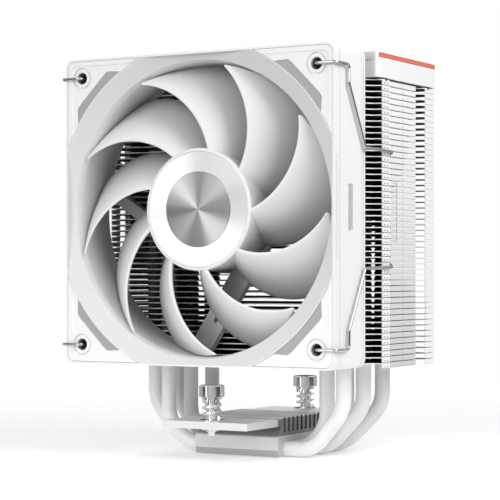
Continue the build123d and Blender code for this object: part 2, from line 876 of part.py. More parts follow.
with BuildPart() as circuit_board:
    with BuildSketch(fan_level(fan_depth - motor_base_thickness)):
        Circle(board_radius)
        Circle(tube_radius + 0.1, mode=Mode.SUBTRACT)
    extrude(amount=board_thickness)
    for turn, size in ((20, 2.6), (110, 1.8), (200, 2.2), (300, 1.6)):
        with BuildSketch(fan_level(fan_depth - motor_base_thickness - board_thickness, turn)):
            with Locations((0.65 * board_radius, 0)):
                Rectangle(size, size * 1.3)
        extrude(amount=0.6)
save(circuit_board, "circuit_board")

with BuildPart() as motor_cap:
    # Plain round cover disc on the back of the motor base
    with BuildSketch(fan_level(fan_depth)):
        Circle(motor_base_radius - 3.5)
    extrude(amount=-0.3)
save(motor_cap, "motor_cap")


# ---------------------------------------------------------------- wire clips

for side, side_name in ((-1, "left"), (1, "right")):
    hole_x = side * fan_hole_offset
    wire_x = side * (fan_size / 2 + wire_gap + wire_radius)
    fin_x = side * (fin_half_x + wire_radius + 0.25)
    groove_x = side * (clip_groove_x + 1.35)
    front_wire = fan_front_y - wire_radius - 0.25
    groove_y = (clip_groove_front + clip_groove_rear) / 2
    upper_half = [
        (hole_x, fan_front_y + 6.0, fan_hole_offset),
        (hole_x, front_wire, fan_hole_offset),
        (wire_x, front_wire, fan_hole_offset),
        (wire_x, fan_front_y + 9.2, fan_hole_offset),
        (wire_x, fan_front_y + 9.2, 45.5),
        (wire_x, fan_front_y + 22.6, 22.6),
        (fin_x, fin_shoulder_y - 3.4, 22.3),
        (fin_x, groove_y, 22.0),
        (groove_x, groove_y, 19.0),
    ]
    lower_half = [(x, y, -z) for x, y, z in upper_half[::-1]]
    wire_points = [(x, y, z + fan_centre_z) for x, y, z in upper_half + lower_half]
    with BuildPart() as wire_clip:
        with BuildLine() as wire_path:
            FilletPolyline(*wire_points, radius=wire_bend)
        with BuildSketch(Plane(origin=wire_path.line @ 0, z_dir=wire_path.line % 0)):
            Circle(wire_radius)
        sweep(path=wire_path.line)
    save(wire_clip, f"wire_clip_{side_name}")


# ---------------------------------------------------------------- spring screws

for place, end_name in ((-screw_y, "front"), (screw_y, "rear")):
    with BuildPart() as screw:
        with BuildSketch(Plane.XY.offset(head_bottom)):
            with Locations((0, place)):
                Circle(head_radius)
        extrude(amount=head_top - head_bottom)
        chamfer(screw.faces().sort_by(Axis.Z)[-1].edges(), 0.35)
        chamfer(screw.faces().sort_by(Axis.Z)[0].edges(), 0.25)
        # Cross recess
        with BuildSketch(Plane.XY.offset(head_top)):
            with Locations((0, place)):
                Rectangle(5.2, 1.1)
                Rectangle(1.1, 5.2)
        extrude(amount=-2.4, mode=Mode.SUBTRACT)
        with BuildSketch(Plane.XY.offset(screw_tip + 1.6)):
            with Locations((0, place)):
                Circle(shank_radius)
        extrude(amount=head_bottom - screw_tip - 1.6)
        # Threaded end below the shank, drawn at the thread's outer radius
        with BuildSketch(Plane.XY.offset(screw_tip)):
            with Locations((0, place)):
                Circle(thread_radius)
        extrude(amount=1.6)
        chamfer(screw.faces().sort_by(Axis.Z)[0].edges(), 0.3)
        # Groove for the retaining ring
        with BuildSketch(Plane.XY.offset(ring_height)):
            with Locations((0, place)):
                Circle(shank_radius + 0.2)
                Circle(shank_radius - 0.45, mode=Mode.SUBTRACT)
        extrude(amount=ring_thickness, mode=Mode.SUBTRACT)
    save(screw, f"{end_name}_screw")

    with BuildPart() as ring:
        with BuildSketch(Plane.XY.offset(ring_height + 0.02)):
            with Locations((0, place)):
                Circle(3.5)
                Circle(shank_radius - 0.43, mode=Mode.SUBTRACT)
            with Locations((0, place - 3.0)):
                Rectangle(1.6, 3.4, mode=Mode.SUBTRACT)
        extrude(amount=ring_thickness - 0.04)
    save(ring, f"{end_name}_screw_ring")

    with BuildPart() as collar:
        with BuildSketch(Plane.XY.offset(head_bottom - 0.05 - collar_height)):
            with Locations((0, place)):
                Circle(collar_radius)
                Circle(shank_radius + 0.06, mode=Mode.SUBTRACT)
        extrude(amount=collar_height)
    save(collar, f"{end_name}_spring_cup")

    with BuildPart() as spring:
        spring_foot = bar_top + washer_thickness + spring_wire + 0.02
        spring_head = head_bottom - 0.05 - collar_height - spring_wire - 0.02
        with BuildLine(Plane(origin=(0, place, spring_foot))) as coil:
            Helix(pitch=spring_pitch, height=spring_head - spring_foot, radius=spring_radius)
        with BuildSketch(Plane(origin=coil.line @ 0, z_dir=coil.line % 0)):
            Circle(spring_wire)
        sweep(path=coil.line, is_frenet=True)
    save(spring, f"{end_name}_spring")

    with BuildPart() as washer:
        with BuildSketch(Plane.XY.offset(bar_top)):
            with Locations((0, place)):
                Circle(washer_radius)
                Circle(shank_radius + 0.15, mode=Mode.SUBTRACT)
        extrude(amount=washer_thickness)
    save(washer, f"{end_name}_washer")
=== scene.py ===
import json
import math

import bmesh
import bpy
from mathutils import Matrix, Vector


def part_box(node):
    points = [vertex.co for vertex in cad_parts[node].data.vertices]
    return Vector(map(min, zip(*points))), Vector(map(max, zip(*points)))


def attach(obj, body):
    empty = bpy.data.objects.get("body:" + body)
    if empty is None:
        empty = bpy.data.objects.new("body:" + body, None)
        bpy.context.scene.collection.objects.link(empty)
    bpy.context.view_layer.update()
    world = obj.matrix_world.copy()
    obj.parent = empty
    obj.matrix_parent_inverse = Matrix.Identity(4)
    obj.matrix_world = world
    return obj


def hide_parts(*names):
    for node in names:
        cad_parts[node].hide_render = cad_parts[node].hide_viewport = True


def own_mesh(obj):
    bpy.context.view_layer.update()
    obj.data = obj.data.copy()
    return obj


# A white tower cooler for a processor, with one 120 mm fan. Metres, in the frame of the CAD model:
# +Z up, the fan's inlet towards -Y, the origin in the middle of the face that presses on the processor.

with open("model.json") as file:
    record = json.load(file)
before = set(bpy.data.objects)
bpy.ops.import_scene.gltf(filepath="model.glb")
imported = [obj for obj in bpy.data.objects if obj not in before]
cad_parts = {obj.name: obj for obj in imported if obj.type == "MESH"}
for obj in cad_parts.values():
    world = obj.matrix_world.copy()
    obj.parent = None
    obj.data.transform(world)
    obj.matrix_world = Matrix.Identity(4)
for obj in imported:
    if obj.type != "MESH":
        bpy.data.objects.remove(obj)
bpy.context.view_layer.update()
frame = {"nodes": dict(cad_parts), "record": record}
record = frame["record"]
nodes = frame["nodes"]

MM = 0.001
MICRON = 0.001 * MM

# Sizes that the CAD model also has
FIN_COUNT = 49
FIN_PITCH = 2.25 * MM
TAB_DROP = 1.61 * MM
WALL_Y = (-7.6 * MM, 16.4 * MM)
WALL_INSET = 1.2 * MM
PIPE_RADIUS = 3.0 * MM
HOLE_OFFSET = 52.5 * MM
FRAME_HOLE_RADIUS = 2.25 * MM
PAD_HOLE_RADIUS = 2.35 * MM
INLET_RADIUS = 64.0 * MM
INLET_SQUARE = 59.25 * MM
INLET_DEPTH = 2.9 * MM
DUCT_RADIUS = 56.9 * MM
RIB_REACH = 19.6 * MM

# Colours used in more than one finish
WHITE_PLASTIC = (0.86, 0.86, 0.87)
SHADOW = (0.06, 0.06, 0.065)
SOFT_GREY = (0.42, 0.42, 0.43)

hub_low, hub_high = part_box("hub_disc")
hub_centre = (hub_low + hub_high) / 2
fan_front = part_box("fan_frame")[0].y


# ------------------------------------------------------------------ material tools

class Graph:
    """A node tree, with short calls for the nodes of the finishes and the surroundings."""

    def __init__(self, tree):
        self.tree = tree
        self.tree.nodes.clear()

    def node(self, kind, inputs=(), **settings):
        """A node with its settings, and its inputs given as (socket, value or output) pairs."""
        made = self.tree.nodes.new(kind)
        for key, value in settings.items():
            setattr(made, key, value)
        for socket, value in inputs:
            if isinstance(value, bpy.types.NodeSocket):
                self.tree.links.new(value, made.inputs[socket])
            else:
                made.inputs[socket].default_value = value
        return made

    def math(self, operation, first, second=0.0, clamp=False):
        inputs = [(0, first), (1, second)]
        made = self.node("ShaderNodeMath", inputs, operation=operation, use_clamp=clamp)
        return made.outputs[0]

    def product(self, *factors):
        """All the factors multiplied together."""
        result = factors[0]
        for factor in factors[1:]:
            result = self.math("MULTIPLY", result, factor)
        return result

    def distance(self, across, upward):
        """How far a point is from an axis, from its two coordinates across that axis."""
        squares = self.math("ADD", self.product(across, across), self.product(upward, upward))
        return self.math("SQRT", squares)

    def span(self, value, low, high, out_low=0.0, out_high=1.0):
        """The value rescaled from low..high to out_low..out_high, and held there outside it."""
        made = self.node(
            "ShaderNodeMapRange",
            [(0, value), (1, low), (2, high), (3, out_low), (4, out_high)],
        )
        return made.outputs[0]


class Finish(Graph):
    """One procedural material: a Principled shader and the small graph that feeds it."""

    def __init__(self, name, colour, roughness, metallic=0.0, **sockets):
        self.material = bpy.data.materials.new(name)
        self.material.use_nodes = True
        super().__init__(self.material.node_tree)
        output = self.tree.nodes.new("ShaderNodeOutputMaterial")
        self.shader = self.tree.nodes.new("ShaderNodeBsdfPrincipled")
        self.tree.links.new(self.shader.outputs["BSDF"], output.inputs["Surface"])
        self.shader.inputs["Metallic"].default_value = metallic
        self.shader.inputs["Roughness"].default_value = roughness
        for socket, value in sockets.items():
            self.shader.inputs[socket.replace("_", " ")].default_value = value
        self.colour = self.constant(colour)
        self.height = None

    def constant(self, colour):
        node = self.tree.nodes.new("ShaderNodeRGB")
        node.outputs[0].default_value = (*colour, 1)
        return node.outputs[0]

    def place(self, stretch=(1, 1, 1)):
        """The piece's own coordinates in metres, stretched along each axis."""
        coords = self.node("ShaderNodeTexCoord")
        source = coords.outputs["Object"]
        return self.node("ShaderNodeMapping", [("Vector", source), ("Scale", stretch)]).outputs[0]

    def axis(self, letter):
        """One of the piece's own coordinates, in metres."""
        parts = self.node("ShaderNodeSeparateXYZ", [(0, self.place())])
        return parts.outputs[letter]

    def facing(self, letter):
        """How far the surface faces along one axis, from -1 to 1."""
        geometry = self.node("ShaderNodeNewGeometry")
        parts = self.node("ShaderNodeSeparateXYZ", [(0, geometry.outputs["Normal"])])
        return parts.outputs[letter]

    def noise(self, scale, detail=3.0, stretch=(1, 1, 1)):
        made = self.node(
            "ShaderNodeTexNoise",
            [("Vector", self.place(stretch)), ("Scale", scale), ("Detail", detail)],
        )
        return made.outputs["Fac"]

    def tint(self, factor, colour):
        """Mix another colour over what is there, by a factor."""
        made = self.node("ShaderNodeMix", data_type="RGBA")
        self.tree.links.new(self.colour, made.inputs["A"])
        for socket, value in (("Factor", factor), ("B", colour)):
            found = [s for s in made.inputs if s.name == socket and s.enabled][0]
            if isinstance(value, bpy.types.NodeSocket):
                self.tree.links.new(value, found)
            else:
                found.default_value = (*value, 1) if socket == "B" else value
        self.colour = [s for s in made.outputs if s.enabled][0]

    def rough(self, value):
        self.tree.links.new(value, self.shader.inputs["Roughness"])

    def bump(self, height, distance):
        """Add a bump of this height pattern, this many metres deep."""
        inputs = [("Height", height), ("Distance", distance), ("Strength", 1.0)]
        made = self.node("ShaderNodeBump", inputs)
        if self.height is not None:
            self.tree.links.new(self.height, made.inputs["Normal"])
        self.height = made.outputs[0]

    def edge(self, radius):
        """1 on sharp edges, 0 elsewhere: where the rounded normal leaves the true one."""
        rounded = self.node("ShaderNodeBevel", [("Radius", radius)], samples=4)
        true = self.node("ShaderNodeNewGeometry")
        dot = self.node(
            "ShaderNodeVectorMath",
            [(0, rounded.outputs[0]), (1, true.outputs["Normal"])],
            operation="DOT_PRODUCT",
        )
        return self.span(self.math("SUBTRACT", 1.0, dot.outputs["Value"]), 0.02, 0.25)

    def done(self):
        self.tree.links.new(self.colour, self.shader.inputs["Base Color"])
        if self.height is not None:
            self.tree.links.new(self.height, self.shader.inputs["Normal"])
        return self.material


# ------------------------------------------------------------------ finishes

def moulded_plastic(name, colour, roughness, grain=9 * MICRON):
    """Satin moulded plastic: faint flow marks and a fine spark-eroded grain."""
    made = Finish(name, colour, roughness, Specular_IOR_Level=0.45)
    flow = made.noise(28, 2.0)
    made.tint(made.span(flow, 0.35, 0.7, 0.0, 0.06), [c * 0.86 for c in colour])
    made.rough(made.span(made.noise(160, 4.0), 0.3, 0.7, roughness - 0.05, roughness + 0.07))
    made.bump(made.noise(5200, 2.0), grain)
    return made


def fan_plastic():
    return moulded_plastic("fan_plastic", WHITE_PLASTIC, 0.42).done()


def shade_holes(made, radius):
    """Darken the walls of the four screw holes, which go right through the corners."""
    across = made.math("SUBTRACT", made.math("ABSOLUTE", made.axis("X")), HOLE_OFFSET)
    middle = made.math("SUBTRACT", made.axis("Z"), hub_centre.z)
    upward = made.math("SUBTRACT", made.math("ABSOLUTE", middle), HOLE_OFFSET)
    inside = made.span(made.distance(across, upward), radius, radius + 0.1 * MM, 1.0, 0.0)
    deep = made.span(made.axis("Y"), fan_front + 0.6 * MM, fan_front + 2.4 * MM, 0.35, 0.85)
    made.tint(made.product(inside, deep), SHADOW)


def frame_plastic():
    """The fan frame's plastic, with painted shade: its inlet ring is a little greyer, and its duct
    darkens inwards.
    """
    made = moulded_plastic("frame_plastic", WHITE_PLASTIC, 0.42)
    x = made.axis("X")
    z = made.math("SUBTRACT", made.axis("Z"), hub_centre.z)
    radius = made.distance(x, z)
    # The funnel ends at a circle, and at the square rim where the circle would pass it
    circle = made.span(radius, INLET_RADIUS, INLET_RADIUS + 0.1 * MM, 1.0, 0.0)
    spread = made.math("MAXIMUM", made.math("ABSOLUTE", x), made.math("ABSOLUTE", z))
    square = made.span(spread, INLET_SQUARE, INLET_SQUARE + 0.05 * MM, 1.0, 0.0)
    funnel_end = fan_front + INLET_DEPTH
    near = made.span(made.axis("Y"), funnel_end, funnel_end + 0.4 * MM, 1.0, 0.0)
    # Painted shade on the inlet funnel
    made.tint(made.product(circle, square, near, 0.3), SOFT_GREY)
    # Painted shade, darker deeper in the duct
    inside = made.span(radius, DUCT_RADIUS, DUCT_RADIUS + 0.3 * MM, 1.0, 0.0)
    depth = made.span(made.axis("Y"), fan_front + 2 * MM, fan_front + 20 * MM)
    made.tint(made.product(depth, inside, 0.5), (0.1, 0.1, 0.105))
    shade_holes(made, FRAME_HOLE_RADIUS)
    return made.done()


def blade_plastic():
    """The impeller's plastic: smoother than the frame's, with painted shade that makes it darker down
    in the duct.
    """
    made = moulded_plastic("blade_plastic", (0.86, 0.86, 0.865), 0.38, 5 * MICRON)
    # Painted shade, darker towards the back of the duct
    depth = made.span(made.axis("Y"), fan_front + 3 * MM, fan_front + 19 * MM)
    made.tint(made.product(made.math("POWER", depth, 1.4), 0.6), SHADOW)
    return made.done()


def badge_plastic():
    return moulded_plastic("badge_plastic", (0.5, 0.5, 0.505), 0.5).done()


def insert_grey():
    return moulded_plastic("insert_grey", (0.40, 0.40, 0.405), 0.55).done()


def black_plastic():
    return moulded_plastic("black_plastic", (0.03, 0.03, 0.03), 0.5).done()


def pad_rubber():
    """Soft white silicone rubber: matt, with a little sheen and dust in its grain."""
    made = Finish("pad_rubber", (0.92, 0.92, 0.92), 0.62, Sheen_Weight=0.15, Specular_IOR_Level=0.3)
    made.tint(made.span(made.noise(90, 5.0), 0.45, 0.75, 0.0, 0.08), (0.66, 0.66, 0.65))
    made.rough(made.span(made.noise(420, 3.0), 0.3, 0.7, 0.55, 0.7))
    made.bump(made.noise(3600, 3.0), 20 * MICRON)
    shade_holes(made, PAD_HOLE_RADIUS)
    return made.done()


def fin_coat():
    """White powder coat on the fins: bright on the cut edges and tabs, with painted shade on the fin
    faces deep between the fins.
    """
    made = Finish("fin_coat", (0.88, 0.88, 0.885), 0.5, Specular_IOR_Level=0.4)
    # Painted shade on the flat fin faces, darker further in from the front and rear
    flat = made.span(made.math("ABSOLUTE", made.facing("Z")), 0.6, 0.9)
    low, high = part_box("fin_stack")
    inner = made.span(made.axis("Z"), low.z + 1.7 * MM, low.z + 1.9 * MM)
    from_front = made.math("SUBTRACT", made.axis("Y"), low.y)
    from_rear = made.math("SUBTRACT", high.y, made.axis("Y"))
    deep = made.span(made.math("MINIMUM", from_front, from_rear), 0.3 * MM, 3.5 * MM, 0.55, 0.93)
    made.tint(made.product(flat, inner, deep), (0.10, 0.10, 0.105))
    # Painted shade: the set-in middle of each side is greyer towards the bottom
    past_front = made.span(made.axis("Y"), WALL_Y[0], WALL_Y[0] + 0.2 * MM)
    before_rear = made.span(made.axis("Y"), WALL_Y[1], WALL_Y[1] + 0.2 * MM, 1.0, 0.0)
    wall = made.product(past_front, before_rear)
    lower = made.span(made.axis("Z"), 130 * MM, low.z, 0.0, 0.6)
    upright = made.math("SUBTRACT", 1.0, flat)
    made.tint(made.product(wall, lower, upright), SOFT_GREY)
    # The folded tabs' cut lower edges show as a fine grey line along each joint
    height = made.math("DIVIDE", made.math("SUBTRACT", made.axis("Z"), low.z), FIN_PITCH)
    line = made.span(made.math("FRACT", height), 0.06, 0.13, 1.0, 0.0)
    share = made.span(wall, 0.0, 1.0, 0.25, 0.6)
    made.tint(made.product(line, share, upright), (0.2, 0.2, 0.205))
    made.tint(made.span(made.noise(60, 4.0), 0.45, 0.8, 0.0, 0.07), (0.7, 0.7, 0.7))
    made.rough(made.span(made.noise(500, 3.0), 0.3, 0.7, 0.44, 0.58))
    made.bump(made.noise(2600, 4.0, (1, 1, 3)), 25 * MICRON)
    return made.done()


def cover_coat():
    """Smooth white coat on the top cover, with an orange-peel ripple, painted shade on its front and
    rear faces and a painted highlight on its edges.
    """
    made = Finish("cover_coat", (0.9, 0.9, 0.905), 0.36, Coat_Weight=0.15, Coat_Roughness=0.25)
    made.tint(made.span(made.noise(35, 3.0), 0.4, 0.75, 0.0, 0.05), (0.74, 0.74, 0.74))
    # Painted shade: the front and rear faces are greyer, more so above the cover's joint line
    joint_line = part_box("top_cover")[1].z - 4.1 * MM
    end = made.span(made.math("ABSOLUTE", made.facing("Y")), 0.9, 0.97)
    upper = made.span(made.axis("Z"), joint_line, joint_line + 0.2 * MM, 0.14, 0.5)
    made.tint(made.product(end, upper), (0.36, 0.36, 0.37))
    # Painted highlight along the sharp edges
    made.tint(made.product(made.edge(0.4 * MM), 0.25), (0.96, 0.96, 0.96))
    made.rough(made.span(made.noise(240, 4.0), 0.3, 0.7, 0.3, 0.44))
    made.bump(made.noise(900, 2.0), 30 * MICRON)
    return made.done()


def shadow_grey():
    """Fine dark marks on the fins: painted shade under the crimps and in the panel's slots and shadow
    line, and the dark seam dashes.
    """
    made = Finish("shadow_grey", (0.14, 0.14, 0.145), 0.6)
    made.tint(made.span(made.noise(900, 3.0), 0.4, 0.7, 0.0, 0.4), (0.3, 0.3, 0.3))
    made.bump(made.noise(2600, 2.0), 10 * MICRON)
    return made.done()


def pipe_coat():
    """Semi-gloss white coat on the heat pipes, with faint drawing marks along the tube."""
    made = Finish("pipe_coat", (0.84, 0.84, 0.845), 0.3, Coat_Weight=0.3, Coat_Roughness=0.2)
    made.tint(made.span(made.noise(30, 2.0), 0.42, 0.75, 0.0, 0.03), (0.68, 0.68, 0.69))
    # Painted shade: greyer towards the back and the bends
    back = made.span(made.axis("Y"), -14 * MM, 20 * MM, 0.0, 0.45)
    bend = made.span(made.axis("Z"), 8 * MM, 34 * MM, 0.14, 0.0)
    made.tint(made.math("ADD", back, bend), SOFT_GREY)
    made.rough(made.span(made.noise(300, 3.0), 0.3, 0.7, 0.28, 0.4))
    made.bump(made.noise(700, 3.0), 30 * MICRON)
    # Bare copper where the pipes are machined flush with the contact face
    below = made.span(made.axis("Z"), 0.02 * MM, 0.08 * MM, 1.0, 0.0)
    made.tint(below, (0.72, 0.36, 0.22))
    return made.done()


def machined_metal(name, colour, roughness, stretch):
    """Metal with cutter marks along one axis, clouded colour and a painted highlight on its sharp
    edges.
    """
    made = Finish(name, colour, roughness, metallic=1.0)
    made.tint(made.span(made.noise(55, 4.0), 0.35, 0.75, 0.0, 0.25), [c * 0.78 for c in colour])
    # Painted highlight along the sharp edges
    made.tint(made.product(made.edge(0.35 * MM), 0.6), (0.92, 0.92, 0.92))
    marks = made.noise(700, 3.0, stretch)
    made.rough(made.span(marks, 0.3, 0.7, roughness - 0.08, roughness + 0.1))
    made.bump(marks, 10 * MICRON)
    return made


def base_metal():
    """The base's metal, half covered by its satin surface, with painted shade that makes it darker
    underneath.
    """
    made = machined_metal("base_metal", (0.64, 0.64, 0.65), 0.42, (1, 12, 12))
    made.shader.inputs["Metallic"].default_value = 0.5
    # Painted shade on the faces that look down
    made.tint(made.span(made.facing("Z"), -0.2, -0.05, 0.6, 0.0), (0.3, 0.3, 0.305))
    return made.done()


def ribbed_metal():
    """The ribbed cover's metal: bright on top of the ribs, with painted shade dark down in the
    channels.
    """
    made = machined_metal("ribbed_metal", (0.76, 0.76, 0.77), 0.42, (1, 12, 12))
    made.shader.inputs["Metallic"].default_value = 0.5
    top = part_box("ribbed_cover")[1].z
    outwards = made.math("ABSOLUTE", made.axis("Y"))
    ribs = made.span(outwards, RIB_REACH, RIB_REACH + 0.2 * MM, 1.0, 0.0)
    side = made.span(made.math("ABSOLUTE", made.facing("Y")), 0.7, 0.9)
    floor = made.span(made.axis("Z"), top - 0.6 * MM, top - 0.2 * MM, 1.0, 0.0)
    # Painted shade on the ribs' sides and down in the channels
    made.tint(made.product(made.math("MAXIMUM", side, floor), ribs, 0.8), (0.09, 0.09, 0.095))
    return made.done()


def polished_metal(name, colour, roughness):
    """Nickel-plated steel: a clear reflection, fine handling marks and a painted highlight on its sharp
    edges.
    """
    made = Finish(name, colour, roughness, metallic=1.0)
    made.tint(made.span(made.noise(160, 3.0), 0.45, 0.75, 0.0, 0.2), [c * 0.72 for c in colour])
    # Painted highlight along the sharp edges
    made.tint(made.product(made.edge(0.2 * MM), 0.5), (0.95, 0.95, 0.95))
    marks = made.noise(1500, 4.0, (1, 1, 0.15))
    made.rough(made.span(marks, 0.35, 0.7, roughness - 0.04, roughness + 0.1))
    made.bump(marks, 1.2 * MICRON)
    return made.done()


def screw_steel():
    return polished_metal("screw_steel", (0.9, 0.9, 0.91), 0.12)


def spring_steel():
    return polished_metal("spring_steel", (0.56, 0.56, 0.57), 0.16)


def motor_steel():
    return machined_metal("motor_steel", (0.42, 0.42, 0.44), 0.35, (1, 8, 1)).done()


def bush():
    """Sintered bronze, with fine pores."""
    made = machined_metal("bush", (0.66, 0.48, 0.26), 0.42, (1, 1, 1))
    pores = made.node("ShaderNodeTexVoronoi", [("Vector", made.place()), ("Scale", 3200.0)])
    made.bump(pores.outputs["Distance"], 40 * MICRON)
    return made.done()


def turned_metal(name, colour, roughness, painted_sheen_amount, metallic=1.0):
    """Lathe-turned metal: rings round the hub's axis, and the conical sheen that they give, from the
    shader and also painted into the colour as a highlight.
    """
    made = Finish(name, colour, roughness, metallic=metallic, Anisotropic=0.75)
    tangent = made.node("ShaderNodeTangent", direction_type="RADIAL", axis="Y")
    made.tree.links.new(tangent.outputs[0], made.shader.inputs["Tangent"])
    x = made.axis("X")
    z = made.math("SUBTRACT", made.axis("Z"), hub_centre.z)
    # Painted highlight: bright lobes round the axis, as the rings' sheen
    angle = made.math("ARCTAN2", z, x)
    lobes = made.math("SINE", made.product(angle, 2.0))
    fine = made.math("SINE", made.math("ADD", made.product(angle, 11.0), 0.7))
    sheen = made.math("ADD", made.product(lobes, lobes), made.product(fine, 0.08), clamp=True)
    made.tint(made.product(sheen, painted_sheen_amount), (0.98, 0.98, 0.98))
    # Cutter rings: the pattern changes with the radius alone
    line = made.node("ShaderNodeCombineXYZ", [("X", made.distance(x, z))])
    noise = made.node("ShaderNodeTexNoise", [("Vector", line.outputs[0]), ("Scale", 2600.0)])
    rings = noise.outputs["Fac"]
    made.tint(made.span(rings, 0.4, 0.7, 0.0, 0.09), [c * 0.6 for c in colour])
    made.bump(rings, 2 * MICRON)
    made.rough(made.span(rings, 0.3, 0.7, roughness - 0.05, roughness + 0.06))
    return made.done()


def hub_bright():
    return turned_metal("hub_bright", (0.8, 0.8, 0.81), 0.4, 1.0, 0.45)


def hub_dark():
    return turned_metal("hub_dark", (0.19, 0.19, 0.195), 0.32, 0.34)


def winding():
    """Enamelled copper wire, wound in close turns."""
    made = Finish("winding", (0.62, 0.26, 0.12), 0.32, metallic=0.9)
    made.tint(made.span(made.noise(900, 3.0), 0.4, 0.7, 0.0, 0.4), (0.36, 0.13, 0.06))
    made.bump(made.noise(2400, 2.0, (1, 8, 1)), 80 * MICRON)
    return made.done()


def magnet():
    """Bonded ferrite, nearly black with a fine grain."""
    made = Finish("magnet", (0.05, 0.05, 0.055), 0.6)
    made.tint(made.span(made.noise(1500, 3.0), 0.4, 0.7, 0.0, 0.4), (0.12, 0.12, 0.125))
    made.bump(made.noise(2500, 3.0), 30 * MICRON)
    return made.done()


def board():
    """Green solder mask with paler tracks."""
    made = Finish("board", (0.03, 0.16, 0.09), 0.3)
    tracks = made.node("ShaderNodeTexBrick", [("Vector", made.place()), ("Scale", 420.0)])
    made.tint(made.product(tracks.outputs["Fac"], 0.5), (0.1, 0.34, 0.2))
    made.bump(tracks.outputs["Fac"], 40 * MICRON)
    return made.done()


def stripe():
    """Coral stripe with a fine diagonal hatch and a darker rim."""
    made = Finish("stripe", (0.83, 0.125, 0.05), 0.28, Coat_Weight=0.3, Coat_Roughness=0.12)
    hatch_pitch = 1.3 * MM
    slant = made.math("ADD", made.axis("Y"), made.axis("Z"))
    hatch = made.math("SINE", made.product(slant, 2 * math.pi / hatch_pitch))
    made.tint(made.span(hatch, 0.2, 0.9, 0.0, 0.35), (0.95, 0.28, 0.16))
    low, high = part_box("cover_stripe_right")
    middle = (low.z + high.z) / 2
    rim = made.math("ABSOLUTE", made.math("SUBTRACT", made.axis("Z"), middle))
    made.tint(made.span(rim, 0.56 * MM, 0.7 * MM, 0.0, 0.85), (0.2, 0.02, 0.01))
    made.bump(hatch, 30 * MICRON)
    return made.done()


FINISHES = {
    "fan_plastic": fan_plastic,
    "fin_coat": fin_coat,
    "cover_coat": cover_coat,
    "base_metal": base_metal,
    "pipe_coat": pipe_coat,
    "shadow_grey": shadow_grey,
    "pad_rubber": pad_rubber,
    "insert_grey": insert_grey,
    "stripe": stripe,
    "screw_steel": screw_steel,
    "spring_steel": spring_steel,
    "hub_bright": hub_bright,
    "hub_dark": hub_dark,
    "motor_steel": motor_steel,
    "bush": bush,
    "winding": winding,
    "magnet": magnet,
    "board": board,
    "black_plastic": black_plastic,
}
materials = {slot: make() for slot, make in FINISHES.items()}

for part in record["subparts"]:
    target = nodes[part["node"]]
    target.data.materials.clear()
    target.data.materials.append(materials[part["material_slot"]])
for name, make in (
    ("side_badge_left", badge_plastic),
    ("side_badge_right", badge_plastic),
    ("fan_frame", frame_plastic),
    ("impeller", blade_plastic),
    ("ribbed_cover", ribbed_metal),
):
    nodes[name].data.materials[0] = make()


# ------------------------------------------------------------------ mesh tools

def add_piece(name, mesh, body, slot, smooth=True, material=None):
    """A finished bmesh as a named piece that moves with a body, in its slot's finish or another one."""
    data = bpy.data.meshes.new(name)
    bmesh.ops.recalc_face_normals(mesh, faces=mesh.faces)
    mesh.to_mesh(data)
    mesh.free()
    for face in data.polygons:
        face.use_smooth = smooth
    piece = bpy.data.objects.new(name, data)
    bpy.context.scene.collection.objects.link(piece)
    data.materials.append(material or materials[slot])
    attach(piece, body)
    return piece


def add_lathe(mesh, centre, profile, segments):
    """A closed ring about the Z axis at centre, from a closed profile of (radius, height) points."""
    rows = []
    for step in range(segments):
        turn = 2 * math.pi * step / segments
        rows.append([
            mesh.verts.new(centre + Vector((r * math.cos(turn), r * math.sin(turn), h)))
            for r, h in profile
        ])
    for step in range(segments):
        row, following = rows[step], rows[(step + 1) % segments]
        for k in range(len(profile)):
            other = (k + 1) % len(profile)
            mesh.faces.new((row[k], following[k], following[other], row[other]))


def add_block(mesh, low, high):
    """A small block between two corners, its outer edges chamfered."""
    made = bmesh.ops.create_cube(mesh, size=1.0)["verts"]
    middle = (Vector(low) + Vector(high)) / 2
    size = Vector(high) - Vector(low)
    for vert in made:
        vert.co = Vector(c * s + m for c, s, m in zip(vert.co, size, middle))
    edges = {edge for vert in made for edge in vert.link_edges}
    bmesh.ops.bevel(
        mesh, geom=list(edges), offset=0.2 * min(abs(v) for v in size), segments=1, affect="EDGES"
    )


def add_crimp(mesh, centre, side):
    """A U-shaped crimp: a half ring lying on the side wall, open upwards, standing a little proud."""
    inner, outer, proud = 0.3 * MM, 0.46 * MM, 0.12 * MM
    steps = 8
    rows = []
    for step in range(steps + 1):
        turn = math.pi * (1 + step / steps)
        corner = []
        for reach, height in ((inner, 0), (outer, 0), (outer, proud), (inner, proud)):
            spot = (side * height, reach * math.cos(turn), reach * math.sin(turn))
            corner.append(mesh.verts.new(centre + Vector(spot)))
        rows.append(corner)
    for row, following in zip(rows, rows[1:]):
        for k in range(4):
            other = (k + 1) % 4
            mesh.faces.new((row[k], following[k], following[other], row[other]))
    mesh.faces.new(rows[0])
    mesh.faces.new(rows[-1])


# ------------------------------------------------------------------ collars where pipes pass the fins

COLLAR_HEIGHT = 1.1 * MM
COLLAR_WALL = 0.3 * MM
COLLAR_FOOT = 0.4 * MM
COLLAR_BORE = PIPE_RADIUS + 0.03 * MM
COLLAR_PROFILE = (
    (COLLAR_BORE, 0),
    (COLLAR_BORE + 2 * COLLAR_WALL, 0),
    (COLLAR_BORE + COLLAR_WALL, 0.35 * MM),
    (COLLAR_BORE + COLLAR_WALL, COLLAR_HEIGHT),
    (COLLAR_BORE, COLLAR_HEIGHT),
)

fin_low, fin_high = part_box("fin_stack")
lowest_fin = fin_low.z + TAB_DROP

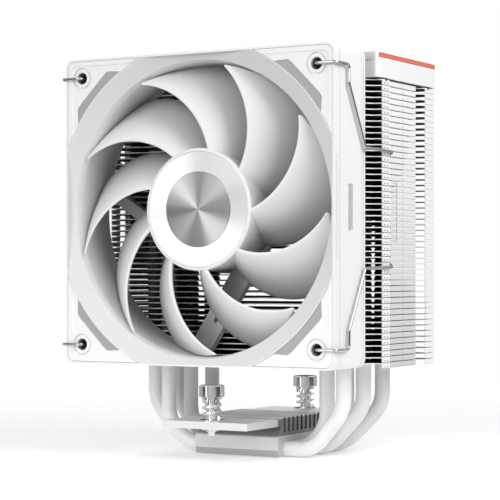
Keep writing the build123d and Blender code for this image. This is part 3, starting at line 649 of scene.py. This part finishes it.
collars = bmesh.new()
for pipe in range(1, 6):
    corners = [v.co for v in nodes[f"heat_pipe_{pipe}"].data.vertices]
    tall = [c for c in corners if c.z > fin_high.z - 20 * MM]
    for side in (-1, 1):
        leg = [c for c in tall if c.x * side > 0]
        x = (min(c.x for c in leg) + max(c.x for c in leg)) / 2
        y = (min(c.y for c in leg) + max(c.y for c in leg)) / 2
        # The top fin is under the cover, and has no collar
        for level in range(FIN_COUNT - 1):
            foot = Vector((x, y, lowest_fin + level * FIN_PITCH + COLLAR_FOOT))
            add_lathe(collars, foot, COLLAR_PROFILE, 20)
add_piece("fin_collars", collars, "cooler", "pipe_coat")


# ------------------------------------------------------------------ marks on the fin stack's sides

CRIMP_Y = (-13.8 * MM, -11.3 * MM)
SEAM_Y = 4.7 * MM
PANEL_Y = (-5.5 * MM, -0.7 * MM)
PANEL_Z = (84.4 * MM, 107.4 * MM)
SLOT_Y = (PANEL_Y[0] + 1.3 * MM, PANEL_Y[0] + 3.2 * MM)
PIN_Y = (-12.7 * MM, 25.4 * MM)
PIN_TIP = 0.0001 * MM
PIN_PROFILE = (
    (PIN_TIP, 0),
    (0.55 * MM, 0),
    (0.55 * MM, 0.1 * MM),
    (0.4 * MM, 0.22 * MM),
    (PIN_TIP, 0.24 * MM),
)


def add_mark(mesh, depths, middle, half_width, half_height):
    """A small raised mark on the set-in wall, between two depths in X, about middle = (y, z)."""
    y, z = middle
    low = (depths[0], y - half_width, z - half_height)
    high = (depths[1], y + half_width, z + half_height)
    add_block(mesh, low, high)


for side, side_name in ((-1, "left"), (1, "right")):
    column = side * fin_high.x
    wall = side * (fin_high.x - WALL_INSET)
    marks = bmesh.new()
    for level in range(FIN_COUNT):
        tab_middle = lowest_fin + level * FIN_PITCH - 0.7 * MM
        # The crimps are dark grey: painted shade under each crimp
        for y in CRIMP_Y:
            add_crimp(marks, Vector((column, y, tab_middle)), side)
        # Dashed seam down the middle of the closed wall
        dash = sorted((wall - side * 0.05 * MM, wall + side * 0.04 * MM))
        add_mark(marks, dash, (SEAM_Y, tab_middle), 0.15 * MM, 0.35 * MM)
        # Two columns of short slots and a shadow line in the small panel beside the clip's groove, in
        # dark grey as painted shade
        if PANEL_Z[0] < tab_middle < PANEL_Z[1]:
            add_mark(marks, dash, (PANEL_Y[1] - 0.45 * MM, tab_middle), 0.1 * MM, 0.7 * MM)
            for y in SLOT_Y:
                add_mark(marks, dash, (y, tab_middle), 0.35 * MM, 0.1 * MM)
    # Dark grey marks: painted shade, and the dark seam dashes
    grey = materials["shadow_grey"]
    add_piece(f"side_marks_{side_name}", marks, "cooler", "fin_coat", smooth=False, material=grey)

    # The panel's raised rim
    rim = bmesh.new()
    reach = sorted((wall - side * 0.05 * MM, wall + side * 0.3 * MM))
    for y_low, y_high, z_low, z_high in (
        (PANEL_Y[0], PANEL_Y[1], PANEL_Z[0] - 0.2 * MM, PANEL_Z[0] + 0.2 * MM),
        (PANEL_Y[0], PANEL_Y[1], PANEL_Z[1] - 0.2 * MM, PANEL_Z[1] + 0.2 * MM),
        (PANEL_Y[1] - 0.3 * MM, PANEL_Y[1] + 0.1 * MM, *PANEL_Z),
    ):
        add_block(rim, (reach[0], y_low, z_low), (reach[1], y_high, z_high))
    add_piece(f"side_panel_rim_{side_name}", rim, "cooler", "fin_coat", smooth=False)

    # Two small black pins under the top cover: painted shade standing in for the small holes there
    pins = bmesh.new()
    turn = Matrix.Rotation(side * math.pi / 2, 3, "Y")
    for y in PIN_Y:
        add_lathe(pins, Vector((0, 0, 0)), PIN_PROFILE, 16)
        new = [v for v in pins.verts if not v.tag]
        for vert in new:
            vert.co = turn @ vert.co + Vector((column, y, fin_high.z - 0.1 * MM))
            vert.tag = True
    add_piece(f"cover_pins_{side_name}", pins, "cooler", "black_plastic")


# ------------------------------------------------------------------ springs

def add_coil(end_name):
    """The coil of one spring screw, in place of its CAD node."""
    node = nodes[f"{end_name}_spring"]
    coil = bpy.data.objects.new(f"{end_name}_spring_coil", node.data.copy())
    bpy.context.scene.collection.objects.link(coil)
    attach(coil, "cooler")
    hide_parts(node.name)
    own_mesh(coil)


for end_name in ("front", "rear"):
    add_coil(end_name)


# ------------------------------------------------------------------ stage: floor, lights, camera

FADE_START = 90 * MM
FADE_END = 320 * MM


def add_floor():
    """Pale round floor whose rim fades away, so that it meets the white surroundings without a line."""
    data = bpy.data.meshes.new("floor")
    mesh = bmesh.new()
    bmesh.ops.create_circle(mesh, cap_ends=True, segments=96, radius=2.2)
    mesh.to_mesh(data)
    mesh.free()
    floor = bpy.data.objects.new("floor", data)
    floor.location.z = -0.3 * MM
    bpy.context.scene.collection.objects.link(floor)
    glow = {"Emission_Color": (1, 1, 1, 1), "Emission_Strength": 0.22}
    made = Finish("floor", (0.92, 0.92, 0.92), 0.6, **glow)
    made.tint(made.span(made.noise(6, 3.0), 0.4, 0.7, 0.0, 0.03), (0.85, 0.85, 0.85))
    distance = made.node("ShaderNodeVectorMath", [(0, made.place())], operation="LENGTH")
    fade = made.span(distance.outputs["Value"], FADE_START, FADE_END, 1.0, 0.0)
    made.tree.links.new(fade, made.shader.inputs["Alpha"])
    data.materials.append(made.done())


def add_softbox(name, place, target, width, height, watts):
    light = bpy.data.lights.new(name, "AREA")
    light.shape = "RECTANGLE"
    light.size = width
    light.size_y = height
    light.energy = watts
    lamp = bpy.data.objects.new(name, light)
    lamp.location = place
    lamp.rotation_euler = (Vector(target) - Vector(place)).to_track_quat("-Z", "Y").to_euler()
    bpy.context.scene.collection.objects.link(lamp)
    return lamp


def add_surroundings():
    """White surroundings, whose light is brighter above than below and comes in upright bands."""
    world = bpy.data.worlds.new("studio")
    world.use_nodes = True
    sky = Graph(world.node_tree)
    coords = sky.node("ShaderNodeTexCoord")
    parts = sky.node("ShaderNodeSeparateXYZ", [(0, coords.outputs["Generated"])])
    height = sky.span(parts.outputs["Z"], -0.5, 0.8, 0.28, 1.1)
    # Three brighter and three darker sides, which give the polished metal its contrast
    turn = sky.math("ARCTAN2", parts.outputs["Y"], parts.outputs["X"])
    wave = sky.math("SINE", sky.math("ADD", sky.product(turn, 3.0), -1.57))
    bands = sky.span(wave, -0.6, 0.6, 0.1, 2.0)
    lit = sky.node("ShaderNodeBackground", [("Color", sky.product(height, bands)), ("Strength", 0.38)])
    seen = sky.node("ShaderNodeBackground", [("Color", (1, 1, 1, 1)), ("Strength", 1.0)])
    path = sky.node("ShaderNodeLightPath")
    mix = sky.node(
        "ShaderNodeMixShader",
        [(0, path.outputs["Is Camera Ray"]), (1, lit.outputs[0]), (2, seen.outputs[0])],
    )
    sky.node("ShaderNodeOutputWorld", [("Surface", mix.outputs[0])])
    bpy.context.scene.world = world


def add_camera():
    """Level camera to the right of the front, a long lens, with a small rise of the view."""
    data = bpy.data.cameras.new("camera")
    data.sensor_width = 36.0
    data.lens = 130.1
    data.shift_y = 0.047
    data.clip_start = 0.01
    camera = bpy.data.objects.new("camera", data)
    camera.location = (0.365, -0.6335, 0.07165)
    camera.rotation_euler = (math.radians(90), 0, math.radians(30.283))
    bpy.context.scene.collection.objects.link(camera)
    bpy.context.scene.camera = camera


add_floor()
add_surroundings()
middle = (0, 0, 0.09)
add_softbox("key", (0.38, -0.1, 0.31), (0.06, 0, 0.12), 0.3, 0.3, 1.45)
add_softbox("front", (-0.25, -1.05, 0.45), middle, 0.9, 0.7, 6.2)
add_softbox("low", (-0.3, -0.9, 0.07), (0, -0.04, 0.03), 0.2, 0.4, 0.5)
add_softbox("back", (-0.5, 0.9, 0.6), middle, 0.8, 0.6, 3.0)
add_camera()
bpy.context.scene.view_settings.view_transform = "Standard"
